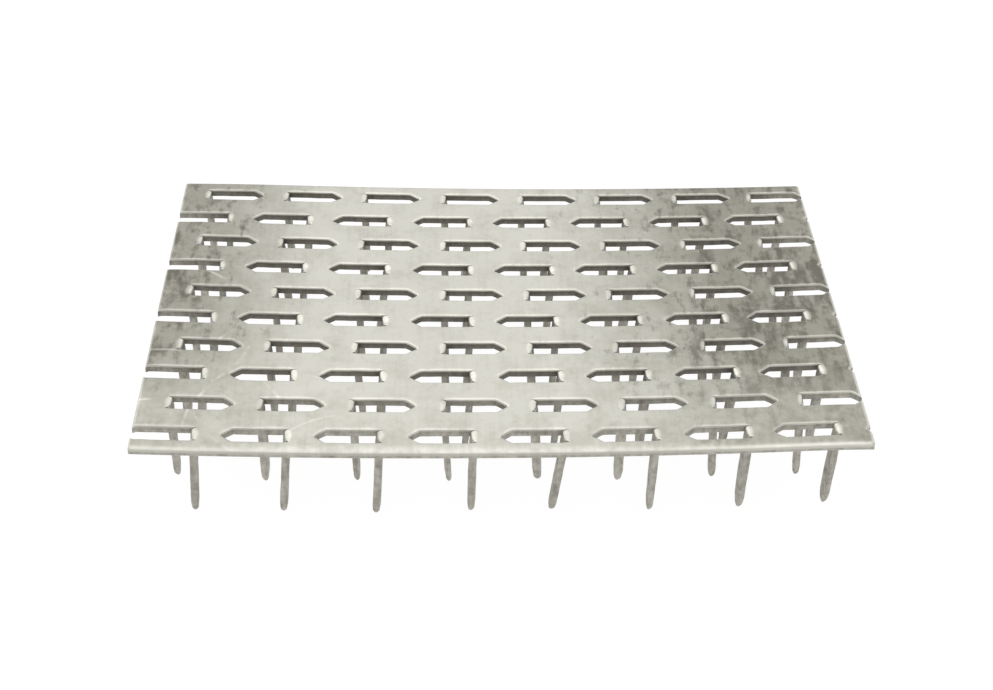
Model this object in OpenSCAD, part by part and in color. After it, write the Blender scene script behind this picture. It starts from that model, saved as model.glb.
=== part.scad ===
// Truss nail plate: one strip of galvanised steel, punched so that every slot leaves its own tooth.
// X runs along the coil, Y across it and Z up. The plate stands on the tips of its teeth.

/* [Plate] */
// Thickness of the steel
plate_t = 1.2; // [0.8:0.1:2]
// Metal from the middle of an outer slot row to the round side edge
side_margin = 3.4; // [2.5:0.1:12]
// Rise of both sheared ends above the middle, left by the press
bow_rise = 1.3; // [0.5:0.05:4]

/* [Slot pattern] */
// Number of teeth in a row
columns = 8; // [2:1:20]
// Number of rows across the plate
rows = 10; // [2:1:24]
// Step from tooth to tooth along a row
pitch_l = 12.7; // [11.5:0.1:20]
// Step from row to row
pitch_w = 6.35; // [5:0.05:12]
// Lead of the even rows' roots over the odd rows' roots
stagger = 5.65; // [5:0.05:7]
// Depth that the left shear cut takes off the first slot points, and leaves as nicks at the right end
end_cut = 0.45; // [0.2:0.05:0.8]
// Depth that the right shear cut takes off the last slot points
end_open = 0.4; // [0.2:0.05:0.8]

/* [Slot] */
// Length of a slot from the root of its tooth to its point
slot_l = 9.6; // [8:0.05:10.5]
// Width of a slot
slot_w = 2.6; // [1.5:0.1:3.4]
// Length of the slot's pointed end
slot_point_l = 1.3; // [0.8:0.1:2.5]
// Width of the blunt nose on the slot's point
slot_nose_w = 0.3; // [0.2:0.05:0.6]

/* [Tooth] */
// Height of a tooth from its tip to the plate's upper face
tooth_l = 14.7; // [8:0.1:20]
// Inner radius of the bend at the root
bend_r = 0.25; // [0.2:0.05:1]
// Angle that the tooth is bent through, which springback leaves short of square
bend_angle = 87.5; // [84:0.5:89.5]
// Width of the tooth at its shoulders, where it has been drawn narrower than its slot
shoulder_w = 1.7; // [1:0.1:3.2]
// Length of the tooth's pointed end
tooth_point_l = 2.2; // [1:0.1:4]
// Width of the tooth's blunt tip
tip_w = 0.4; // [0.2:0.05:0.9]

/* [Hidden] */

plate_l = (columns - 1) * pitch_l + 2 * slot_l - stagger - end_cut - end_open;
plate_w = (rows - 1) * pitch_w + 2 * side_margin;

// The bow is an arc about a line across the plate, above its middle. Places along the plate are
// measured on its upper face, which has the radius bow_r.
bow_r = (pow(plate_l / 2, 2) + pow(bow_rise, 2)) / (2 * bow_rise);
bow_fn = 720;
round_fn = 32;
degrees_per_mm = 180 / (PI * bow_r);

// Root lines of the first teeth. Even rows point left from their roots and odd rows point right.
first_even_root = slot_l - end_cut - plate_l / 2;
first_odd_root = first_even_root - stagger;
next_plate_root = plate_l / 2 - end_cut + slot_l;

// A tooth's middle line leaves its bend at (mid_r * sin, mid_r * cos) about the bend's centre, and
// runs straight from there to the centre of its round tip.
outer_r = bend_r + plate_t;
mid_r = bend_r + plate_t / 2;
shank_l = (tooth_l - plate_t / 2 - outer_r + mid_r * cos(bend_angle)) / sin(bend_angle);
tip_x = mid_r * sin(bend_angle) + shank_l * cos(bend_angle);
tip_z = plate_t / 2 - tooth_l;

// Height that sets the lowest tips on Z = 0
lift = -min([for (row = [0, 1], root = roots(row)) tip_bottom(root, heading(row))]);

function is_even(row) = row % 2 == 0;

// Direction in which a row's slots run from their roots
function heading(row) = is_even(row) ? -1 : 1;

function roots(row) =
    let (first = is_even(row) ? first_even_root : first_odd_root)
    [for (i = [0 : columns - 1]) first + i * pitch_l];

function row_y(row) = side_margin - plate_w / 2 + row * pitch_w;

// Lowest point of the tooth that is rooted at a place on the bow
function tip_bottom(root, side) =
    let (turn = root * degrees_per_mm)
    bow_r + side * tip_x * sin(turn) + (tip_z - bow_r) * cos(turn) - plate_t / 2;

// Carries its children from the middle of the upper face to a root line on the bow
module at_root(root, row) {
    translate([0, row_y(row), bow_r])
        rotate([0, -root * degrees_per_mm, 0])
            translate([0, 0, -bow_r])
                mirror([is_even(row) ? 1 : 0, 0, 0])
                    children();
}

// The bowed strip, with the round side edges of slit coil
module strip() {
    span = plate_l * degrees_per_mm;
    translate([0, 0, bow_r])
        rotate([90, 0, 0])
            rotate([0, 0, -90 - span / 2])
                rotate_extrude(angle = span, $fn = bow_fn)
                    translate([bow_r + plate_t / 2, 0])
                        strip_section();
}

module strip_section() {
    square([plate_t, plate_w - plate_t], center = true);
    for (side = [-1, 1])
        translate([0, side * (plate_w - plate_t) / 2])
            circle(d = plate_t, $fn = round_fn);
}

// Cutter for one slot, from its root at X = 0 to its point on the +X side
module slot() {
    over = plate_t;
    translate([0, 0, -plate_t - over])
        linear_extrude(height = plate_t + 2 * over)
            polygon([
                [0, -slot_w / 2],
                [slot_l - slot_point_l, -slot_w / 2],
                [slot_l, -slot_nose_w / 2],
                [slot_l, slot_nose_w / 2],
                [slot_l - slot_point_l, slot_w / 2],
                [0, slot_w / 2]
            ]);
}

// One tooth: the bend at its root, then the straight shank
module tooth() {
    bend();
    translate([0, 0, -outer_r])
        rotate([0, bend_angle, 0])
            translate([0, 0, mid_r])
                shank();
}

module bend() {
    translate([0, 0, -outer_r])
        rotate([90, 0, 0])
            rotate([0, 0, 90 - bend_angle])
                rotate_extrude(angle = bend_angle, $fn = 4 * round_fn)
                    translate([mid_r, 0])
                        square([plate_t, slot_w], center = true);
}

// The shank runs along +X: its outline from the front, rounded over at the tip
module shank() {
    full_l = shank_l + plate_t / 2;
    intersection() {
        linear_extrude(height = plate_t, center = true)
            polygon([
                [0, -slot_w / 2],
                [full_l - tooth_point_l, -shoulder_w / 2],
                [full_l, -tip_w / 2],
                [full_l, tip_w / 2],
                [full_l - tooth_point_l, shoulder_w / 2],
                [0, slot_w / 2]
            ]);
        rotate([90, 0, 0])
            linear_extrude(height = slot_w, center = true) {
                translate([0, -plate_t / 2])
                    square([shank_l, plate_t]);
                translate([shank_l, 0])
                    circle(d = plate_t, $fn = round_fn);
            }
    }
}

module nail_plate() {
    color([0.78, 0.78, 0.74])
        translate([0, 0, lift]) {
            difference() {
                strip();
                for (row = [0 : rows - 1])
                    for (root = is_even(row) ? concat(roots(row), next_plate_root) : roots(row))
                        at_root(root, row) slot();
            }
            for (row = [0 : rows - 1])
                for (root = roots(row))
                    at_root(root, row) tooth();
        }
}

nail_plate();
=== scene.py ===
"""Truss nail plate: the finished steel, the light and the camera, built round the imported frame.

Lengths are in metres. X runs along the coil, Y across the rows and Z up. The plate is first made flat, with
its upper face on Z = 0, and is then laid on the same bow as the frame's solid.
"""

import logging
import math
import random
from dataclasses import dataclass, field, replace
from enum import Enum
from typing import Any, Callable, Iterable

import bmesh
import bpy
from bmesh.types import BMesh, BMEdge, BMVert
from mathutils import Matrix, Vector, noise


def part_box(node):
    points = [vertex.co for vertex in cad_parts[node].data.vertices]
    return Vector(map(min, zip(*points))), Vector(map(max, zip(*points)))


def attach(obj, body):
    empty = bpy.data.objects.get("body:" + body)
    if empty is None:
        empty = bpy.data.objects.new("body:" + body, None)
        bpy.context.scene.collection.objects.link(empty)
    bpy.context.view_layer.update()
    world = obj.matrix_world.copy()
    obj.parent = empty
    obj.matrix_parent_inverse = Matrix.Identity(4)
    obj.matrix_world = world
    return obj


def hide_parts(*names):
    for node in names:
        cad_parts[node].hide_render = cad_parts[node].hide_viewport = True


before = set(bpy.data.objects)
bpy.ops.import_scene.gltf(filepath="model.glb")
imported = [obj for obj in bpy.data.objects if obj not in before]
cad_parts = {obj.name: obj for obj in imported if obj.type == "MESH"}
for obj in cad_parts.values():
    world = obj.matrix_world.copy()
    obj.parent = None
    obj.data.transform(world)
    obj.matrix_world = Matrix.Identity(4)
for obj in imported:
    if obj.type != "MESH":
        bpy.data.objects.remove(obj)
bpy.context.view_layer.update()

MM = 0.001
NODE = "nail_plate"

log = logging.getLogger("nail_plate")


# ------------------------------------------------------------------------------------------------------ sizes


class Facing(Enum):
    """The way that a row's slots run from the roots of their teeth."""

    LEFT = -1
    RIGHT = 1


@dataclass(frozen=True)
class Steel:
    """The strip that the plate is pressed from."""

    thickness: float = 1.2 * MM
    width: float = 63.95 * MM
    length: float = 101.6 * MM
    bow_rise: float = 1.3 * MM

    @property
    def half_t(self) -> float:
        """Half the thickness, which is also the radius of the round side edges."""
        return self.thickness / 2

    @property
    def bow_radius(self) -> float:
        """Radius of the bow on the upper face."""
        half = self.length / 2
        return (half**2 + self.bow_rise**2) / (2 * self.bow_rise)


@dataclass(frozen=True)
class Pattern:
    """Where the slots and their teeth stand on the strip: punch_drift has one value for each column."""

    steel: Steel
    rows: int = 10
    pitch_l: float = 12.7 * MM
    pitch_w: float = 6.35 * MM
    stagger: float = 5.65 * MM
    end_cut: float = 0.45 * MM
    slot_l: float = 9.6 * MM
    punch_drift: tuple[float, ...] = tuple(
        shift * MM for shift in (0.0, -0.06, -0.06, 0.14, 0.12, 0.0, 0.03, -0.42)
    )
    odd_shift: float = 0.14 * MM

    def facing(self, row: int) -> Facing:
        """Even rows run left from their roots, and odd rows run right."""
        return Facing.LEFT if row % 2 == 0 else Facing.RIGHT

    def row_y(self, row: int) -> float:
        """Middle line of a row, counted from the front edge."""
        return (row - (self.rows - 1) / 2) * self.pitch_w

    def roots(self, row: int) -> list[float]:
        """Root lines of a row's teeth, from left to right."""
        first = self.slot_l - self.end_cut - self.steel.length / 2
        if self.facing(row) is Facing.RIGHT:
            first += self.odd_shift - self.stagger
        return [first + i * self.pitch_l + drift for i, drift in enumerate(self.punch_drift)]

    def next_plate_root(self) -> float:
        """Root line of the next plate's first tooth, whose slot point nicks this plate's right end."""
        return self.steel.length / 2 - self.end_cut + self.slot_l


@dataclass(frozen=True)
class Bow:
    """Lays points of the flat plate on the bow and stands it on its tooth tips."""

    radius: float
    lift: float

    def place(self, spot: Vector) -> Vector:
        """Moves one point from the flat plate to the bowed one.

        Args:
            spot: A point of the flat plate.

        Returns:
            The same point on the bow, in the row frame.
        """
        turn = spot.x / self.radius
        arm = self.radius - spot.z
        return Vector((arm * math.sin(turn), spot.y, self.lift + self.radius - arm * math.cos(turn)))


# ------------------------------------------------------------------------------------------------- mesh tools


def held(value: float) -> float:
    """A value held between 0 and 1."""
    return min(1.0, max(0.0, value))


def ring_edges(bm: BMesh, ring: list[BMVert]) -> list[BMEdge]:
    """The edges of a closed ring of vertices.

    Args:
        bm: The mesh that holds the ring.
        ring: The ring's vertices, in order.

    Returns:
        One edge from each vertex to the next.
    """
    return [bm.edges.get((a, b)) for a, b in zip(ring, ring[1:] + ring[:1])]


def first_ring(bm: BMesh, spots: list[Vector]) -> list[BMVert]:
    """Starts a tube with one closed ring.

    Args:
        bm: The mesh to add to.
        spots: The ring's places, in order.

    Returns:
        The ring's vertices.
    """
    ring = [bm.verts.new(spot) for spot in spots]
    for a, b in zip(ring, ring[1:] + ring[:1]):
        bm.edges.new((a, b))
    return ring


def next_ring(bm: BMesh, ring: list[BMVert], spots: list[Vector]) -> list[BMVert]:
    """Extrudes a closed ring to new places.

    Args:
        bm: The mesh that holds the ring.
        ring: The ring to go on from.
        spots: Where each of its vertices goes next.

    Returns:
        The new ring, in the same order.
    """
    made = bmesh.ops.extrude_edge_only(bm, edges=ring_edges(bm, ring))["geom"]
    fresh = {item for item in made if isinstance(item, BMVert)}
    twins = [next(e.other_vert(v) for e in v.link_edges if e.other_vert(v) in fresh) for v in ring]
    for twin, spot in zip(twins, spots):
        twin.co = spot
    return twins


def loft(bm: BMesh, stations: Iterable[list[Vector]]) -> list[list[BMVert]]:
    """Makes a tube through a row of closed rings.

    Args:
        bm: The mesh to add to.
        stations: The places of each ring, all with the same count.

    Returns:
        Every ring's vertices.
    """
    rings: list[list[BMVert]] = []
    for spots in stations:
        rings.append(next_ring(bm, rings[-1], spots) if rings else first_ring(bm, spots))
    return rings


# -------------------------------------------------------------------------------------------------- the slots


@dataclass(frozen=True)
class Root:
    """The curved line where a tooth leaves the plate: its middle bends first, its sides later."""

    middle: float = -0.06 * MM
    side: float = 0.35 * MM

    def line(self, share: float) -> float:
        """Where the bend starts, at a share of the half width from the middle of the tooth."""
        return self.middle + (self.side - self.middle) * share**2


@dataclass(frozen=True)
class Slot:
    """One sheared slot, from its root at X = 0 to its point on the +X side.

    Its upper rim rolls over, less on the front side (near_share) and hardly at the root (root_share). Its
    wall is smooth down to smooth_share of the thickness and torn open below, down to a small burr.
    """

    root: Root
    length: float = 9.6 * MM
    width: float = 2.6 * MM
    point_l: float = 1.55 * MM
    point_power: float = 1.08
    nose_w: float = 0.26 * MM
    rollover_w: float = 0.55 * MM
    rollover_h: float = 0.22 * MM
    rollover_steps: int = 5
    near_share: float = 0.5
    root_share: float = 0.04
    fade_l: float = 1.1 * MM
    hold: float = 0.1 * MM
    breakout: float = 0.07 * MM
    burr: float = 0.05 * MM
    smooth_share: float = 0.62
    swell: float = 0.2
    swell_l: float = 2.2 * MM
    wobble: float = 0.06 * MM
    wobble_l: float = 1.6 * MM

    def half_outline(self) -> list[tuple[float, float]]:
        """Places along one side, from near the middle of the root to just before the point."""
        straight = self.length - self.point_l
        half_w = self.width / 2
        start = self.root.side
        back = [(self.root.line(share), share * half_w) for share in (0.3, 0.6, 0.85, 1.0)]
        parts = (0.03, 0.07, 0.13, 0.22, 0.38, 0.54, 0.7, 0.86)
        side = [(start + (straight - start) * part, half_w) for part in parts]
        point = []
        for part in (0.0, 0.2, 0.42, 0.64, 0.84, 0.97):
            share = (1 - part**self.point_power) ** (1 / self.point_power)
            point.append((straight + part * self.point_l, max(share * half_w, self.nose_w / 2)))
        return back + side + point

    def outline(self) -> list[Vector]:
        """The whole slot's outline, counter-clockwise from the middle of the root."""
        half = self.half_outline()
        near = [Vector((x, -y, 0)) for x, y in half]
        far = [Vector((x, y, 0)) for x, y in reversed(half)]
        return [Vector((self.root.middle, 0, 0))] + near + [Vector((self.length, 0, 0))] + far

    def _past_root(self, spot: Vector) -> float:
        """How far a place is past the root, from 0 to 1 where the rim and wall are at their full form."""
        return held((spot.x - self.root.side) / self.fade_l)

    def stations(self, depth: float, facing: Facing, rng: random.Random) -> list[list[Vector]]:
        """Rings from the upper face, over the rolled rim and down the sheared wall, to the lower face.

        Args:
            depth: Thickness of the steel.
            facing: The way its row runs, which tells its front side from its back side.
            rng: Source of the slot's own unevenness.

        Returns:
            The places of each ring, the upper face's first.
        """
        edge = self.outline()
        phase = rng.uniform(0, 50)
        out, roll = [], []
        for i, spot in enumerate(edge):
            along = edge[(i + 1) % len(edge)] - edge[i - 1]
            normal = Vector((along.y, -along.x, 0)).normalized()
            out.append(normal)
            fade = math.sin(self._past_root(spot) * math.pi / 2)
            swell = 1 + self.swell * noise.noise(Vector((spot.x / self.swell_l, spot.y / MM, phase)))
            forward = held(-facing.value * spot.y / (self.width / 2))
            side = 1 - (1 - self.near_share) * forward
            roll.append((self.root_share + (1 - self.root_share) * fade) * side * swell)
        for spot, normal in zip(edge, out):
            ragged = noise.noise(Vector((spot.x / self.wobble_l, phase, spot.y / MM)))
            spot += normal * self.wobble * ragged * self._past_root(spot)

        def ring(push: Callable[[int], float], drop: Callable[[int], float]) -> list[Vector]:
            """The outline, pushed outwards and dropped at each place."""
            return [spot + out[i] * push(i) - Vector((0, 0, drop(i))) for i, spot in enumerate(edge)]

        rings = [ring(lambda i: self.rollover_w * roll[i] + self.hold, lambda i: 0)]
        for step in range(self.rollover_steps + 1):
            turn = math.radians(90 * step / self.rollover_steps)
            rings.append(ring(
                lambda i: self.rollover_w * roll[i] * (1 - math.sin(turn)),
                lambda i: self.rollover_h * roll[i] * (1 - math.cos(turn)),
            ))
        rings.append(ring(lambda i: 0, lambda i: self.smooth_share * depth))
        rings.append(ring(lambda i: self.breakout, lambda i: depth + self.burr))
        rings.append(ring(lambda i: self.breakout + self.hold, lambda i: depth))
        return rings


# -------------------------------------------------------------------------------------------------- the teeth


@dataclass(frozen=True)
class Habit:
    """How one tooth differs from its neighbours.

    The lean is along its row, the sway across it and the twist about its own length. The phase is where its
    unevenness is read, and near is the side that is to the front.
    """

    lean: float
    sway: float
    twist: float
    short: float
    stout: float
    phase: float
    near: int


@dataclass(frozen=True)
class Tooth:
    """One tooth, drawn and bent down out of its slot, and hollow along its outer face.

    The bend goes slowly through the slopes, each a tilt and its share of the reach, and then turns tightly.
    Its side to the front is slimmer (near_slim) and bends earlier (near_cut). Its first part (true_share) has
    none of the tooth's own habits.
    """

    root: Root
    length: float = 14.7 * MM
    reach: float = 1.24 * MM
    bend_angle: float = math.radians(87.5)
    slopes: tuple[tuple[float, float], ...] = ((math.radians(12), 0.13), (math.radians(32), 0.65))
    bend_steps: tuple[int, ...] = (2, 3, 5)
    root_w: float = 2.5 * MM
    lead_in: float = 0.3 * MM
    sink: float = 0.004 * MM
    hollow_root: float = 0.14 * MM
    hollow_shank: float = 0.2 * MM
    bent_t: float = 1.0 * MM
    shank_t: float = 0.95 * MM
    shank_w: float = 2.3 * MM
    shoulder_w: float = 2.0 * MM
    point_l: float = 2.4 * MM
    tip_w: float = 0.5 * MM
    tip_t: float = 0.78 * MM
    corner: float = 0.2 * MM
    root_corner: float = 0.02 * MM
    twist_l: float = 4.0 * MM
    true_share: float = 0.3
    roughness: float = 0.06 * MM
    roughness_l: float = 1.5 * MM
    near_slim: float = 0.25
    near_cut: float = 0.55

    def section(self, thick: float, half_w: float, corner: float) -> list[tuple[float, float]]:
        """A rounded bar's outline, as (depth below the outer face, across) pairs.

        Args:
            thick: Its thickness.
            half_w: Half its width.
            corner: Radius of its corners.

        Returns:
            Its places, in order round the bar.
        """
        corner = min(corner, thick * 0.45, half_w * 0.6)
        inner_w = half_w - corner
        cut = corner * (1 - math.sqrt(0.5))
        outer = [(0.0, inner_w * share) for share in (-1.0, -0.5, 0.0, 0.5, 1.0)]
        right = [(cut, half_w - cut), (corner, half_w), (thick - corner, half_w), (thick - cut, half_w - cut)]
        inner = [(thick, inner_w * share) for share in (1.0, 0.0, -1.0)]
        return outer + right + inner + [(depth, -across) for depth, across in reversed(right)]

    def build(self, bm: BMesh, plate_t: float, habit: Habit) -> None:
        """Adds the tooth, with its root line at the origin and its slot on the +X side.

        Args:
            bm: The mesh to add to.
            plate_t: The plate's thickness.
            habit: How this tooth differs from its neighbours.
        """
        total = self.bend_angle + habit.lean
        stations = [self._level(plate_t)]
        turns = [0.0]
        for end, steps in zip((*(tilt for tilt, _ in self.slopes), total), self.bend_steps):
            turns += [turns[-1] + (end - turns[-1]) * part / steps for part in range(1, steps + 1)]
        for turn in turns:
            stations.append(self._bend(plate_t, turn, turn / total, habit.near))
        stations += self._shank(total, habit)
        rings = loft(bm, stations)
        for ring in (rings[0], rings[-1]):
            bm.faces.new(ring)
        for ring in rings[1:]:
            for vert in ring:
                depth = max(0.0, -vert.co.z - self.true_share * self.reach)
                share = min(1.0, depth / self.reach)
                vert.co.y += math.tan(habit.sway) * depth
                shift = noise.noise_vector(vert.co / self.roughness_l + Vector((habit.phase, 0, 0)))
                vert.co += shift * self.roughness * share

    def _level(self, plate_t: float) -> list[Vector]:
        """The flat end of the tooth, just inside the plate."""
        x = self.root.middle - self.lead_in
        section = self.section(plate_t - 2 * self.sink, self.root_w / 2, self.root_corner)
        return [Vector((x, across, -self.sink - depth)) for depth, across in section]

    def _outer(self, across: float, half_w: float) -> tuple[float, float]:
        """Where the bend starts at a place across the tooth, and how far along it reaches there."""
        share = min(1.0, abs(across) / half_w)
        start = self.root.line(share)
        return start, self.reach - start - self.hollow_root * (1 - share**2)

    def _profile(self, reach: float, turn: float) -> tuple[float, float]:
        """How far along and down the outer face has come at a tilt.

        Args:
            reach: How far along the whole bend goes.
            turn: The tilt.

        Returns:
            The distances along and down.
        """
        along, down, begun = 0.0, 0.0, 0.0
        rest = 1 - sum(part for _, part in self.slopes)
        for end, part in (*self.slopes, (math.pi, rest)):
            radius = part * reach / (math.sin(min(end, math.pi / 2)) - math.sin(begun))
            now = max(begun, min(turn, end))
            along += radius * (math.sin(now) - math.sin(begun))
            down += radius * (math.cos(begun) - math.cos(now))
            begun = end
        return along, down

    def _slimmed(self, across: float, near: int) -> float:
        """A place across the tooth, drawn in on the front side."""
        return across * (1 - self.near_slim) if across * near > 0 else across

    def _bend(self, plate_t: float, turn: float, share: float, near: int) -> list[Vector]:
        """One ring of the bend, fanned out from the under side.

        Args:
            plate_t: The plate's thickness.
            turn: The outer face's tilt.
            share: How far round the bend it is, from 0 to 1.
            near: The side of the tooth that is to the front.

        Returns:
            The ring's places.
        """
        ease = min(1.0, share / self.true_share)
        thick = plate_t - 2 * self.sink * (1 - share) - (plate_t - self.bent_t) * share
        corner = self.root_corner + (self.corner - self.root_corner) * share
        half_w = self.root_w / 2
        spots = []
        for depth, across in self.section(thick, half_w, corner):
            start, reach = self._outer(across, half_w)
            reach *= 1 - self.near_cut * max(0.0, across * near / half_w) ** 1.5
            along, down = self._profile(reach, turn)
            place = across + (self._slimmed(across, near) - across) * ease
            face = Vector((start + along, place, -down - self.sink * (1 - share)))
            under = Vector((start + (reach - self.bent_t) * share, place, self.sink - plate_t))
            spots.append(face.lerp(under, depth / thick))
        return spots

    def _shank(self, total: float, habit: Habit) -> list[list[Vector]]:
        """The rings from the end of the bend to the tip.

        Args:
            total: The whole bend's angle.
            habit: How this tooth differs from its neighbours.

        Returns:
            The rings' places.
        """
        out = Vector((math.sin(total), 0, math.cos(total)))
        along = Vector((math.cos(total), 0, -math.sin(total)))
        half_w = self.root_w / 2
        start, reach = self._outer(half_w, half_w)
        past, down = self._profile(reach, total)
        face = (start + past) * math.sin(total) - down * math.cos(total)
        top = self.reach * 1.02
        bottom = (self.length - habit.short + face * math.cos(total)) / math.sin(total)
        shoulder = bottom - self.point_l
        run = shoulder - top
        rings = []

        def add(down: float, width: float, thick: float, hollow: float) -> None:
            """Adds one ring, at a distance down the tooth."""
            middle = face - self.bent_t / 2
            turn = habit.twist * min(1.0, (down - top) / self.twist_l)
            ring = []
            for depth, across in self.section(thick, width / 2, self.corner):
                share = min(1.0, abs(across) / (width / 2))
                level = (thick - self.bent_t) / 2 + self.bent_t / 2 - depth - hollow * (0.6 - share**2)
                place = self._slimmed(across, habit.near)
                spun = level * math.cos(turn) - place * math.sin(turn)
                side = level * math.sin(turn) + place * math.cos(turn)
                ring.append(out * (middle + spun) + along * down + Vector((0, side, 0)))
            rings.append(ring)

        for part in (0.04, 0.12, 0.25, 0.42, 0.6, 0.8, 1.0):
            blend = min(1.0, part / 0.25)
            width = self.root_w + (self.shank_w - self.root_w) * blend
            width += (self.shoulder_w - self.shank_w) * part
            thick = self.bent_t + (self.shank_t * habit.stout - self.bent_t) * blend
            hollow = self.hollow_root + (self.hollow_shank - self.hollow_root) * blend
            add(top + run * part, width, thick, hollow)
        for part in (0.2, 0.4, 0.58, 0.73, 0.85, 0.93, 0.98, 1.0):
            round_off = math.sqrt(max(0.0, 1 - max(0.0, (part - 0.66) / 0.34) ** 2))
            width = self.shoulder_w + (self.tip_w - self.shoulder_w) * part**1.2
            thick = habit.stout * (self.shank_t + (self.tip_t - self.shank_t) * part**2.5)
            hollow = self.hollow_shank * (1 - part)
            down = shoulder + part * self.point_l
            add(down, width * max(0.3, round_off), thick * max(0.25, round_off), hollow)
        return rings


# -------------------------------------------------------------------------------------------------- the plate


@dataclass
class NailPlate:
    """The whole plate, as one piece of mesh.

    Attributes:
        round_steps: Steps round each long edge.
        edge_rolls: How far the front and back edges roll over above, and foot_roll how far they do below.
        bow_step: Greatest distance between the cuts that the bow bends at.
        end_rolls: Width and height of the roll at the left and right ends, and roll_parts its cuts.
        right_short: What the right end lacks.
        left_skew: How far the left cut is out of square, over skew_l of the plate.
        corner_radii: The front corners, left and right.
        cut_extra: Extra length of the slots that the left cut goes through, and nick_extra that of the nicks.
        twist: How far the corners are twisted up or down, about a line along the plate at twist_y.
        back_rise: How much higher the middle of the back edge is, over back_l of the width.
        lift_share: Share of the bow that a lift may use, and of the height above which it is full.
        inside: What keeps the plate inside the frame's box.
        spare_l: What is left past the right end until it is cut, and spare_left the same past the left end.
        crooked: Extra lean of the teeth that are bent off true, by row and column.
        fill_turn: Turn of the mesh while its flat faces are filled.
    """

    steel: Steel
    pattern: Pattern
    slot: Slot
    tooth: Tooth
    bow: Bow
    seed: int = 20

    round_steps: int = 10
    edge_rolls: tuple[float, float] = (1.6 * MM, 0.4 * MM)
    foot_roll: float = 0.4 * MM
    bow_step: float = 2.1 * MM
    end_rolls: tuple[tuple[float, float], ...] = ((0.45 * MM, 0.22 * MM), (0.75 * MM, 0.38 * MM))
    roll_parts: tuple[float, ...] = (0.05, 0.18, 0.38, 0.65, 1.0)
    right_short: float = 0.1 * MM
    left_skew: float = 0.38 * MM
    skew_l: float = 16.0 * MM
    skew_fade: float = 0.6
    corner_radii: tuple[float, float] = (0.4 * MM, 0.75 * MM)
    cut_extra: float = 0.62 * MM
    nick_extra: float = 0.3 * MM
    twist: float = 0.43 * MM
    twist_y: float = -8.0 * MM
    back_rise: float = 0.27 * MM
    back_l: float = 28.0 * MM
    lift_share: float = 0.8
    inside: float = 0.004 * MM
    spare_l: float = 13.0 * MM
    spare_left: float = 3.0 * MM
    merge_reach: float = 0.001 * MM
    cut_reach: float = 0.0005 * MM
    lean_spread: float = math.radians(1.3)
    sway_spread: float = math.radians(1.2)
    twist_spread: float = math.radians(6.0)
    short_least: float = 0.06 * MM
    short_spread: float = 0.35 * MM
    stout_spread: float = 0.07
    crooked: dict[tuple[int, int], float] = field(default_factory=lambda: {
        (0, 3): math.radians(2.5),
        (0, 4): math.radians(-5.5),
        (1, 1): math.radians(1.2),
        (1, 5): math.radians(3.0),
    })
    sharp_angle: float = math.radians(38)
    fill_turn: float = math.radians(30)

    def build(self) -> bpy.types.Object:
        """Makes the plate and every tooth.

        Returns:
            The finished object, at the origin.
        """
        rng = random.Random(self.seed)
        noise.seed_set(self.seed)
        bm = bmesh.new()
        self._cut_slots(bm, rng)
        self._add_sheets(bm)
        self._skew_left(bm, -1)
        self._trim(bm)
        self._roll_ends(bm)
        self._round_corners(bm)
        self._skew_left(bm, 1)
        self._add_teeth(bm, rng)
        depth = bm.verts.layers.float.new("depth")
        for vert in bm.verts:
            vert[depth] = -vert.co.z
            vert.co = self.bow.place(vert.co)
            vert.co.z += self._twist_rise(vert.co)
        for edge in bm.edges:
            edge.smooth = edge.calc_face_angle(0.0) < self.sharp_angle
        mesh = bpy.data.meshes.new("punched_plate")
        bm.to_mesh(mesh)
        bm.free()
        mesh.polygons.foreach_set("use_smooth", [True] * len(mesh.polygons))
        piece = bpy.data.objects.new("punched_plate", mesh)
        bpy.context.scene.collection.objects.link(piece)
        return piece

    def _twist_rise(self, spot: Vector) -> float:
        """How far the plate's twist and its stiffer back lift a place.

        A lift stays under the height of the bowed ends, and fades out towards the tips of the teeth.

        Args:
            spot: A place on the bowed plate.

        Returns:
            The lift, which is negative where the twist lowers the plate.
        """
        along = spot.x / (self.steel.length / 2)
        across = (spot.y - self.twist_y) / (self.steel.width / 2 - self.twist_y)
        past = max(0.0, 1 - (self.steel.width / 2 - spot.y) / self.back_l)
        rise = self.back_rise * (1 - along**2) * past**2 - self.twist * along * across
        if rise > 0:
            room = max(self.lift_share * self.steel.bow_rise * (1 - along**2), 0.0001 * MM)
            rise *= room / (room**4 + rise**4) ** 0.25
        return rise * held(spot.z / (self.lift_share * self.bow.lift))

    def _slot_places(self) -> list[tuple[float, int, float]]:
        """Every slot as (root line, row, extra length), with the next plate's, which nick the right end."""
        places = []
        for row in range(self.pattern.rows):
            cut = self.pattern.facing(row) is Facing.LEFT
            for column, root in enumerate(self.pattern.roots(row)):
                places.append((root, row, self.cut_extra if cut and column == 0 else 0.0))
            if cut:
                places.append((self.pattern.next_plate_root(), row, self.nick_extra))
        return places

    def _cut_slots(self, bm: BMesh, rng: random.Random) -> None:
        """Adds the rims and walls of every slot."""
        for root, row, extra in self._slot_places():
            facing = self.pattern.facing(row)
            side, y = facing.value, self.pattern.row_y(row)
            slot = replace(self.slot, length=self.slot.length + extra)
            stations = [
                [Vector((root + side * spot.x, y + side * spot.y, spot.z)) for spot in ring]
                for ring in slot.stations(self.steel.thickness, facing, rng)
            ]
            loft(bm, stations)

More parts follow.
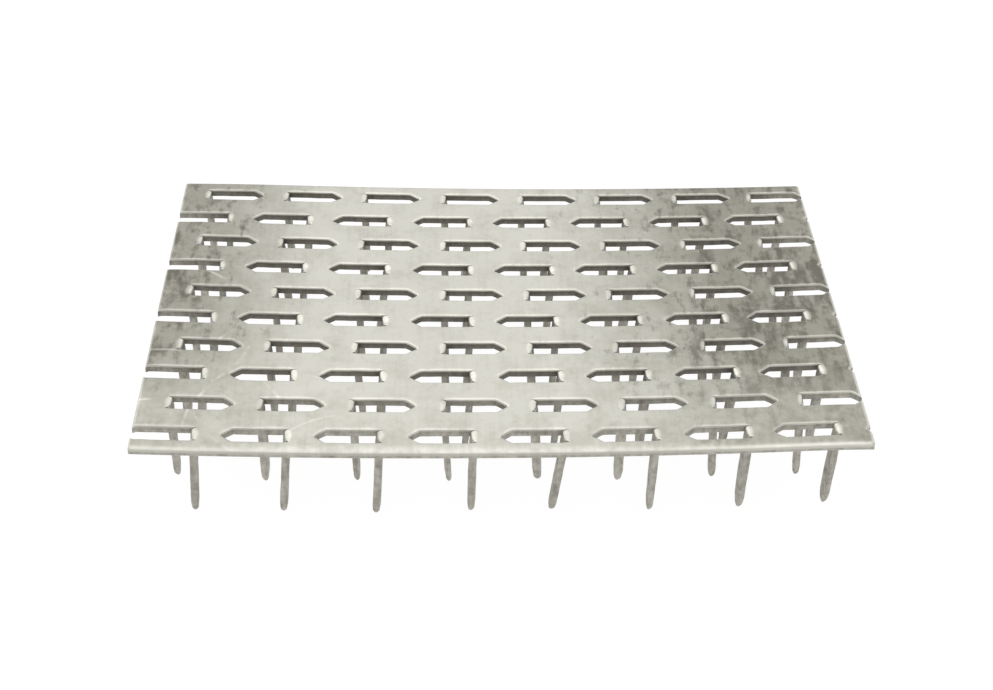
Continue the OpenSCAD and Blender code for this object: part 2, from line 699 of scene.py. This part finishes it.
    def _add_sheets(self, bm: BMesh) -> None:
        """Adds the upper and lower faces between the slots, and the round side edges.

        The mesh is turned while a face is filled, because the fill goes wrong where many slots' sides lie on
        one line along its own axis.
        """
        turned = Matrix.Rotation(self.fill_turn, 3, "Z")
        rims = [e for e in bm.edges if e.is_boundary]
        left = -self.steel.length / 2 - self.spare_left
        right = self.steel.length / 2 + self.spare_l
        front, back = (self.steel.width / 2 - self.inside - roll for roll in self.edge_rolls)
        for level in (0.0, -self.steel.thickness):
            corners = [(left, -front), (right, -front), (right, back), (left, back)]
            outer = first_ring(bm, [Vector((x, y, level)) for x, y in corners])
            border = ring_edges(bm, outer)
            inner = [e for e in rims if abs(e.verts[0].co.z - level) < self.steel.half_t / 2]
            bmesh.ops.rotate(bm, matrix=turned, verts=bm.verts)
            bmesh.ops.triangle_fill(bm, edges=inner + border, use_beauty=True, use_dissolve=False)
            bmesh.ops.rotate(bm, matrix=turned.transposed(), verts=bm.verts)
            if level == 0.0:
                for side, edge, start in ((-1, border[0], front), (1, border[2], back)):
                    bmesh.ops.spin(
                        bm, geom=[edge, *edge.verts], cent=(0, side * start, -self.steel.half_t),
                        axis=(1, 0, 0), angle=-side * math.pi, steps=self.round_steps,
                        use_merge=False, use_duplicate=False, use_normal_flip=False,
                    )
        bmesh.ops.remove_doubles(bm, verts=bm.verts, dist=self.merge_reach)
        bmesh.ops.recalc_face_normals(bm, faces=bm.faces)
        for side, start, roll in ((-1, front, self.edge_rolls[0]), (1, back, self.edge_rolls[1])):
            self._shape_edge(bm, side, start, roll)

    def _shape_edge(self, bm: BMesh, side: int, start: float, roll: float) -> None:
        """Widens the upper half of a round side edge and keeps its lower half tight.

        Args:
            bm: The flat plate.
            side: -1 for the front edge, and 1 for the back one.
            start: Distance of the round edge's start from the middle line.
            roll: Width of its upper half.
        """
        half_t = self.steel.half_t
        for vert in bm.verts:
            past = side * vert.co.y - start
            if vert.co.z < -1.01 * half_t and past > -self.merge_reach:
                vert.co.y = side * (start + roll - self.foot_roll * (1 - past / half_t))
            elif past > 0:
                vert.co.y = side * (start + past * roll / half_t)

    def _round_corners(self, bm: BMesh) -> None:
        """Rounds the front corners, as seen from above."""
        for end, radius in zip(self._ends(), self.corner_radii):
            for vert in bm.verts:
                past = 1 - (vert.co.y + self.steel.width / 2 - self.inside) / radius
                over = radius - abs(vert.co.x - end)
                if past > 0 and over > 0:
                    shrink = math.sqrt(1 - min(1.0, past) ** 2)
                    vert.co.x -= math.copysign(over * (1 - shrink), end)

    def _cut(self, bm: BMesh, x: float, **clear: bool) -> None:
        """Cuts the mesh across at one place along the plate."""
        bmesh.ops.bisect_plane(
            bm, geom=[*bm.verts, *bm.edges, *bm.faces], dist=self.cut_reach,
            plane_co=(x, 0, 0), plane_no=(1, 0, 0), **clear,
        )

    def _trim(self, bm: BMesh) -> None:
        """Shears the plate to length, closes its ends and adds the cuts that the bow bends at."""
        left, right = self._ends()
        self._cut(bm, right, clear_outer=True)
        self._cut(bm, left, clear_inner=True)
        steps = round(self.steel.length / self.bow_step)
        inner = [left + (right - left) * i / steps for i in range(1, steps)]
        rolls = []
        for end, side, (width, _) in zip((left, right), (1, -1), self.end_rolls):
            rolls += [end + side * part * width for part in self.roll_parts]
        for x in inner + rolls:
            self._cut(bm, x)
        ends = [e for e in bm.edges if e.is_boundary]
        bmesh.ops.holes_fill(bm, edges=ends, sides=0)
        bmesh.ops.triangulate(bm, faces=[f for f in bm.faces if len(f.verts) > 4])
        bmesh.ops.recalc_face_normals(bm, faces=bm.faces)

    def _skew_left(self, bm: BMesh, way: int) -> None:
        """Leans the left end so that a square cut there comes out a little out of square.

        Args:
            bm: The flat plate.
            way: -1 before the cut, and 1 after it.
        """
        for vert in bm.verts:
            near = held((self.skew_l - self.steel.length / 2 - vert.co.x) / (self.skew_fade * self.skew_l))
            vert.co.x += way * self.left_skew * near * (vert.co.y / self.steel.width + 0.5)

    def _ends(self) -> tuple[float, float]:
        """Places of the two shear cuts, a hair inside the frame's box."""
        half_l = self.steel.length / 2 - self.inside
        return -half_l, half_l - self.right_short

    def _roll_ends(self, bm: BMesh) -> None:
        """Rolls the upper face over at both sheared ends."""
        for end, (width, height) in zip(self._ends(), self.end_rolls):
            for vert in bm.verts:
                share = 1 - abs(vert.co.x - end) / width
                if share > 0:
                    drop = height * (1 - math.sqrt(max(0.0, 1 - share**2)))
                    vert.co.z -= drop * max(0.0, 1 + vert.co.z / self.steel.thickness)

    def _add_teeth(self, bm: BMesh, rng: random.Random) -> None:
        """Adds the teeth, each with its own small lean."""
        for row in range(self.pattern.rows):
            side = self.pattern.facing(row).value
            for column, root in enumerate(self.pattern.roots(row)):
                part = bmesh.new()
                habit = Habit(
                    lean=rng.gauss(0, self.lean_spread) + self.crooked.get((row, column), 0.0),
                    sway=rng.gauss(0, self.sway_spread),
                    twist=rng.gauss(0, self.twist_spread),
                    short=self.short_least + rng.random() * self.short_spread,
                    stout=1.0 + rng.gauss(0, self.stout_spread),
                    phase=rng.uniform(0, 90),
                    near=-side,
                )
                self.tooth.build(part, self.steel.thickness, habit)
                turn = Matrix.Rotation(0 if side > 0 else math.pi, 4, "Z")
                place = Matrix.Translation((root, self.pattern.row_y(row), 0)) @ turn
                bmesh.ops.transform(part, matrix=place, verts=part.verts)
                bmesh.ops.recalc_face_normals(part, faces=part.faces)
                mesh = bpy.data.meshes.new("tooth")
                part.to_mesh(mesh)
                part.free()
                bm.from_mesh(mesh)
                bpy.data.meshes.remove(mesh)


# ------------------------------------------------------------------------------------------------- the finish


class Value:
    """A number socket that adds Math nodes when it is used in an expression."""

    def __init__(self, shader: "Shader", socket: Any) -> None:
        """Wraps a socket of a shader's tree."""
        self.shader = shader
        self.socket = socket

    def _math(self, operation: str, *values: Any, clamp: bool = False) -> "Value":
        """Adds one Math node."""
        inputs = dict(enumerate(values))
        return self.shader.node("ShaderNodeMath", inputs, operation=operation, use_clamp=clamp)

    def __add__(self, other: Any) -> "Value":
        """Sum."""
        return self._math("ADD", self, other)

    def __sub__(self, other: Any) -> "Value":
        """Difference."""
        return self._math("SUBTRACT", self, other)

    def __rsub__(self, other: Any) -> "Value":
        """Difference, from a plain number."""
        return self._math("SUBTRACT", other, self)

    def __mul__(self, other: Any) -> "Value":
        """Product."""
        return self._math("MULTIPLY", self, other)

    __radd__ = __add__
    __rmul__ = __mul__

    def clamp(self) -> "Value":
        """Held between 0 and 1."""
        return self._math("ADD", self, 0.0, clamp=True)

    def absolute(self) -> "Value":
        """Without its sign."""
        return self._math("ABSOLUTE", self)

    def root(self) -> "Value":
        """Square root."""
        return self._math("SQRT", self)

    def step(self, low: float, high: float) -> "Value":
        """A smooth step from 0 at low to 1 at high."""
        inputs = {"Value": self, "From Min": low, "From Max": high}
        return self.shader.node("ShaderNodeMapRange", inputs, interpolation_type="SMOOTHSTEP")


class Shader:
    """A material's node tree, with one method that adds any node."""

    def __init__(self, name: str) -> None:
        """Starts an empty material of that name."""
        self.material = bpy.data.materials.new(name)
        self.material.use_nodes = True
        self.tree = self.material.node_tree
        self.tree.nodes.clear()

    def node(
        self, kind: str, inputs: dict[Any, Any] | None = None, output: Any = 0, **settings: Any
    ) -> Value:
        """Adds a node.

        Args:
            kind: The node's type.
            inputs: Values or links of its sockets, by name or number.
            output: The output socket to hand back.
            **settings: Its settings, which are set first.

        Returns:
            The output socket.
        """
        made = self.tree.nodes.new(kind)
        for name, value in settings.items():
            setattr(made, name, value)
        for name, value in (inputs or {}).items():
            if isinstance(value, Value):
                self.tree.links.new(value.socket, made.inputs[name])
            else:
                made.inputs[name].default_value = value
        return Value(self, made.outputs[output])

    def mix(self, share: Any, first: Any, second: Any) -> Value:
        """Blends two colours by a share."""
        return self.node(
            "ShaderNodeMix", {0: share, 6: first, 7: second}, output=2, data_type="RGBA", clamp_factor=True
        )

    def split(self, vector: Value) -> list[Value]:
        """The three parts of a vector."""
        first = self.node("ShaderNodeSeparateXYZ", {0: vector})
        return [Value(self, first.socket.node.outputs[i]) for i in range(3)]

    def join(self, x: Any, y: Any, z: Any) -> Value:
        """A vector from its three parts."""
        return self.node("ShaderNodeCombineXYZ", {0: x, 1: y, 2: z})

    def finish(self, surface: Value) -> bpy.types.Material:
        """Links the surface to the material's output and hands the material back."""
        end = self.tree.nodes.new("ShaderNodeOutputMaterial")
        self.tree.links.new(surface.socket, end.inputs["Surface"])
        return self.material


@dataclass(frozen=True)
class Grain:
    """Soft noise of one kind: its scale, how much finer detail it holds, and how it is drawn out."""

    scale: float
    detail: float
    roughness: float
    stretch: tuple[float, float, float] | None = None

    def over(self, shader: Shader, place: Value) -> Value:
        """The noise at a place, between 0 and 1."""
        if self.stretch:
            place = shader.node("ShaderNodeMapping", {"Vector": place, "Scale": self.stretch})
        inputs = {"Vector": place, "Scale": self.scale, "Detail": self.detail, "Roughness": self.roughness}
        return shader.node("ShaderNodeTexNoise", inputs)


@dataclass(frozen=True)
class Scratch:
    """A bright swirl scratch: part of a circle on the upper face."""

    x: float
    y: float
    radius: float
    width: float = 0.34 * MM


@dataclass(frozen=True)
class GalvanisedSteel:
    """Dull zinc, mottled and stained, with bare steel where the tools have sheared it, and with painted shade
    and painted highlights in its colour.

    Attributes:
        clean: The zinc's colour. It goes to dull in clouds, to dim_zinc_and_shade at the ends in worn zinc
            and painted shade, and to stain in blotches.
        bright: The scratches' colour, and rubbed_and_highlight that of the tilted rims and bends, partly
            burnished zinc and partly painted highlight.
        sheared: Bare steel darkened with painted shade, painted_lit_steel the same steel with painted light
            where light would reach it, and grime what lies on it.
        mottle: Spangle of the zinc, with cloud and drift for its wider changes.
        streaks: Fine lines across the coil, and blotch the long stains.
        gaps: What breaks up the scratches.
    """

    steel: Steel
    clean: tuple[float, float, float] = (0.66, 0.65, 0.585)
    dull: tuple[float, float, float] = (0.48, 0.47, 0.41)
    dim_zinc_and_shade: tuple[float, float, float] = (0.25, 0.242, 0.2)
    stain: tuple[float, float, float] = (0.11, 0.102, 0.078)
    bright: tuple[float, float, float] = (0.86, 0.85, 0.79)
    rubbed_and_highlight: tuple[float, float, float] = (0.7, 0.69, 0.625)
    sheared: tuple[float, float, float] = (0.19, 0.179, 0.153)
    painted_lit_steel: tuple[float, float, float] = (0.47, 0.452, 0.4)
    grime: tuple[float, float, float] = (0.1, 0.088, 0.07)
    mottle: Grain = Grain(900.0, 5.0, 0.65)
    cloud: Grain = Grain(190.0, 4.0, 0.6)
    drift: Grain = Grain(38.0, 3.0, 0.5)
    streaks: Grain = Grain(1.0, 3.0, 0.6, (1500.0, 110.0, 300.0))
    blotch: Grain = Grain(1.0, 4.0, 0.62, (640.0, 210.0, 300.0))
    gaps: Grain = Grain(170.0, 4.0, 0.6)
    scratches: tuple[Scratch, ...] = (
        Scratch(-31 * MM, -27 * MM, 13 * MM),
        Scratch(-30 * MM, -25 * MM, 9.5 * MM),
        Scratch(-27 * MM, -18 * MM, 17 * MM),
        Scratch(-52 * MM, -6 * MM, 16 * MM),
        Scratch(-48 * MM, -30 * MM, 19 * MM),
        Scratch(-20 * MM, -38 * MM, 14 * MM),
    )

    def material(self) -> bpy.types.Material:
        """Builds the finish.

        Returns:
            The material.
        """
        shader = Shader("galvanised_steel")
        place = shader.node("ShaderNodeTexCoord", output="Object")
        facing = shader.node("ShaderNodeTexCoord", output="Normal")
        x, y, _ = shader.split(place)
        depth = shader.node("ShaderNodeAttribute", output="Fac", attribute_name="depth")
        # Where the bare steel goes, with painted shade on the deep bends and teeth and at the foot of the
        # round edges.
        sheared = self._bare_steel_and_shade_mask(shader, facing, x, y, depth)
        grains = (self.mottle, self.cloud, self.drift, self.streaks, self.blotch)
        mottle, cloud, drift, streaks, blotch = (grain.over(shader, place) for grain in grains)
        up = shader.split(facing)[2].absolute()

        # Both ends are painted darker, more towards the back: partly worn, duller zinc and partly painted
        # shade for the darker reflections at the ends.
        left, right = x.step(-22 * MM, -52 * MM), x.step(1 * MM, 51 * MM)
        back = y.step(-28 * MM, -6 * MM)
        wear_and_end_shade = (left * (0.5 + 0.45 * back) + right * (0.76 + 0.6 * back) + (cloud - 0.5) * 0.35).clamp()
        dull = wear_and_end_shade * 0.4 + (cloud - 0.5) * 1.5 + (mottle - 0.5) * 1.4 + (streaks - 0.5) * 0.9 + 0.12
        dull = (dull + y.step(-22 * MM, -31 * MM) * 0.3).clamp()
        patches = (drift - 0.5) * 2.2 + (blotch - 0.5) * 5.0 + (mottle - 0.5) * 1.8 + wear_and_end_shade * 1.2 - 0.95
        patches = (patches.clamp() * (wear_and_end_shade * 3.0).clamp() * (0.35 + 0.65 * back)).clamp()
        marks = self._scratch_mask(shader, x, y)

        colour = shader.mix(dull, (*self.clean, 1), (*self.dull, 1))
        # Worn zinc and painted shade at both ends.
        colour = shader.mix(wear_and_end_shade * 0.85, colour, (*self.dim_zinc_and_shade, 1))
        colour = shader.mix(patches * 0.75, colour, (*self.stain, 1))
        colour = shader.mix(marks, colour, (*self.bright, 1))
        # Tilted rims and bends are painted lighter, more at the ends and towards the front: partly burnished
        # zinc and partly painted highlight.
        burnish_and_highlight = up.step(0.995, 0.95) * (0.45 + 0.55 * depth.step(0.03 * MM, 0.25 * MM))
        burnish_and_highlight = burnish_and_highlight * (0.2 + wear_and_end_shade * (1.35 - 0.55 * back))
        colour = shader.mix(burnish_and_highlight.clamp(), colour, (*self.rubbed_and_highlight, 1))
        specks = ((mottle - 0.4).clamp() + (streaks - 0.4).clamp()) * 1.1
        # Bare steel in a lit and a shaded copy: painted light where light would reach it, painted shade
        # elsewhere, then flecked with grime.
        bare = shader.mix(self._lit_mask(x, y, depth), (*self.sheared, 1), (*self.painted_lit_steel, 1))
        colour = shader.mix(sheared, colour, shader.mix(specks, bare, (*self.grime, 1)))

        rough = dull * 0.12 + patches * 0.1 + sheared * 0.12 + (mottle - 0.5) * 0.16 + 0.36
        height = mottle + streaks * 0.7 + cloud * 1.5 - marks * 0.5
        bump = shader.node("ShaderNodeBump", {"Strength": 0.35, "Distance": 0.02 * MM, "Height": height})
        surface = shader.node(
            "ShaderNodeBsdfPrincipled",
            {"Base Color": colour, "Roughness": rough, "Metallic": 1.0 - patches * 0.35, "Normal": bump},
        )
        return shader.finish(surface)

    def _bare_steel_and_shade_mask(self, shader: Shader, facing: Value, x: Value, y: Value, depth: Value) -> Value:
        """1 on the sheared walls of the slots and the cut ends, and on the deep parts of the bends and teeth,
        partly their cut sides and partly painted shade; the foot of the round edges is partly bare steel and
        partly painted shade.
        """
        _, across, up = shader.split(facing)
        wall = depth.step(0.2 * MM, 0.42 * MM) * across.absolute().step(0.3, 0.6)
        # Painted shade: the steep faces of the bends and teeth darken with their depth below the upper face.
        drawn = depth.step(0.25 * MM, 0.85 * MM) * up.absolute().step(0.9, 0.55)
        end = x.absolute().step(self.steel.length / 2 - 0.12 * MM, self.steel.length / 2 - 0.04 * MM)
        body = (wall + drawn + end * depth.step(0.25 * MM, 0.45 * MM)).clamp()
        edge = y.absolute().step(self.steel.width / 2 - 1.7 * MM, self.steel.width / 2 - 1.62 * MM)
        # The foot of the round front and back edges, where it turns down, is partly bare steel and partly
        # painted shade.
        return body * (1.0 - edge) + up.step(0.62, 0.1) * edge * 0.9

    def _lit_mask(self, x: Value, y: Value, depth: Value) -> Value:
        """1 where light reaches the bare steel: in the front rows, at both ends and low on the teeth."""
        lit = (y.step(-13 * MM, -29 * MM) + x.absolute().step(40 * MM, 50 * MM) * 0.7).clamp()
        return (lit + depth.step(1.3 * MM, 3 * MM) * 0.5).clamp()

    def _scratch_mask(self, shader: Shader, x: Value, y: Value) -> Value:
        """1 along the swirl scratches, each broken up along its length."""
        total: Value | float = 0.0
        for number, mark in enumerate(self.scratches):
            dx, dy = x - mark.x, y - mark.y
            near = ((dx * dx + dy * dy).root() - mark.radius).absolute()
            spot = shader.join(x + number * 0.1, y, 0.0)
            broken = self.gaps.over(shader, spot).step(0.46, 0.66)
            total = near.step(mark.width, 0.0) * broken + total
        return total.clamp() * x.step(-16 * MM, -26 * MM) * 0.45


# ------------------------------------------------------------------------------------------------- the studio


@dataclass(frozen=True)
class Lamp:
    """A soft oblong lamp that points at the plate, placed by its bearing from it."""

    name: str
    azimuth: float
    elevation: float
    glow: float
    width: float
    height: float
    distance: float = 0.6

    def build(self) -> None:
        """Hangs the lamp. Azimuth runs from the back, +Y, towards the right, +X."""
        data = bpy.data.lights.new(self.name, "AREA")
        data.shape = "RECTANGLE"
        data.size = self.width
        data.size_y = self.height
        data.energy = math.pi * self.width * self.height * self.glow
        turn, rise = math.radians(self.azimuth), math.radians(self.elevation)
        way = Vector((math.sin(turn) * math.cos(rise), math.cos(turn) * math.cos(rise), math.sin(rise)))
        lamp = bpy.data.objects.new(self.name, data)
        facing = way.to_track_quat("Z", "Y").to_matrix().to_4x4()
        lamp.matrix_world = Matrix.Translation(way * self.distance) @ facing
        bpy.context.scene.collection.objects.link(lamp)


@dataclass(frozen=True)
class Studio:
    """Floor, light and camera. The azimuth, elevation and roll are the camera's, about its focus."""

    focus: Vector
    azimuth: float = math.radians(-2.24)
    elevation: float = math.radians(39.24)
    roll: float = math.radians(1.28)
    distance: float = 242.7 * MM
    lens: float = 60.1
    sensor_w: float = 36.0
    nearest: float = 10.0 * MM
    sky: float = 0.72
    floor_half: float = 4.0
    floor_glow: float = 0.96
    floor_tone: float = 0.07
    lamps: tuple[Lamp, ...] = (
        Lamp("back_panel", 0.0, 34.0, 0.24, 0.7, 0.42),
        Lamp("overhead", 0.0, 82.0, 0.86, 0.6, 0.54),
        Lamp("left_panel", -46.0, 32.0, 0.9, 0.48, 0.4),
        Lamp("right_panel", 42.0, 30.0, 0.55, 0.5, 0.4),
    )

    def build(self) -> None:
        """Sets up the whole studio."""
        self._floor()
        self._sky()
        for lamp in self.lamps:
            lamp.build()
        self._camera()
        bpy.context.scene.view_settings.view_transform = "Standard"

    def _floor(self) -> None:
        """A plain pale light table under the tooth tips."""
        bm = bmesh.new()
        bmesh.ops.create_grid(bm, x_segments=1, y_segments=1, size=self.floor_half)
        mesh = bpy.data.meshes.new("floor")
        bm.to_mesh(mesh)
        bm.free()
        floor = bpy.data.objects.new("floor", mesh)
        bpy.context.scene.collection.objects.link(floor)
        shader = Shader("pale_floor")
        surface = shader.node("ShaderNodeBsdfPrincipled", {
            "Base Color": (self.floor_tone, self.floor_tone, self.floor_tone, 1),
            "Roughness": 0.9,
            "Specular IOR Level": 0.0,
            "Emission Color": (1, 1, 1, 1),
            "Emission Strength": self.floor_glow,
        })
        mesh.materials.append(shader.finish(surface))

    def _sky(self) -> None:
        """Even light from all round."""
        world = bpy.data.worlds.new("studio")
        world.use_nodes = True
        world.node_tree.nodes["Background"].inputs["Color"].default_value = (1, 1, 1, 1)
        world.node_tree.nodes["Background"].inputs["Strength"].default_value = self.sky
        bpy.context.scene.world = world

    def _camera(self) -> None:
        """The camera, turned about the plate and rolled a little."""
        data = bpy.data.cameras.new("camera")
        data.lens = self.lens
        data.sensor_width = self.sensor_w
        data.clip_start = self.nearest
        camera = bpy.data.objects.new("camera", data)
        bpy.context.scene.collection.objects.link(camera)
        away = Vector((
            math.sin(self.azimuth) * math.cos(self.elevation),
            -math.cos(self.azimuth) * math.cos(self.elevation),
            math.sin(self.elevation),
        ))
        turn = away.to_track_quat("Z", "Y").to_matrix().to_4x4() @ Matrix.Rotation(self.roll, 4, "Z")
        camera.matrix_world = Matrix.Translation(self.focus + away * self.distance) @ turn
        bpy.context.scene.camera = camera


# ----------------------------------------------------------------------------------------------------- making


def main() -> None:
    """Builds the plate, its finish and the studio, in that order."""
    logging.basicConfig(level=logging.INFO)
    steel = Steel()
    low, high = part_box(NODE)
    lift = high.z - steel.bow_rise
    bow = Bow(steel.bow_radius, lift)
    root = Root()
    plate = NailPlate(steel, Pattern(steel), Slot(root), Tooth(root), bow)
    piece = plate.build()
    piece.data.materials.append(GalvanisedSteel(steel).material())
    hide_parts(NODE)
    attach(piece, "root")
    log.info("punched plate: %d faces, frame from %s to %s", len(piece.data.polygons), low, high)
    focus = Vector((-0.49 * MM, -8.89 * MM, lift + 0.08 * MM))
    Studio(focus).build()


if __name__ == "__main__":
    main()
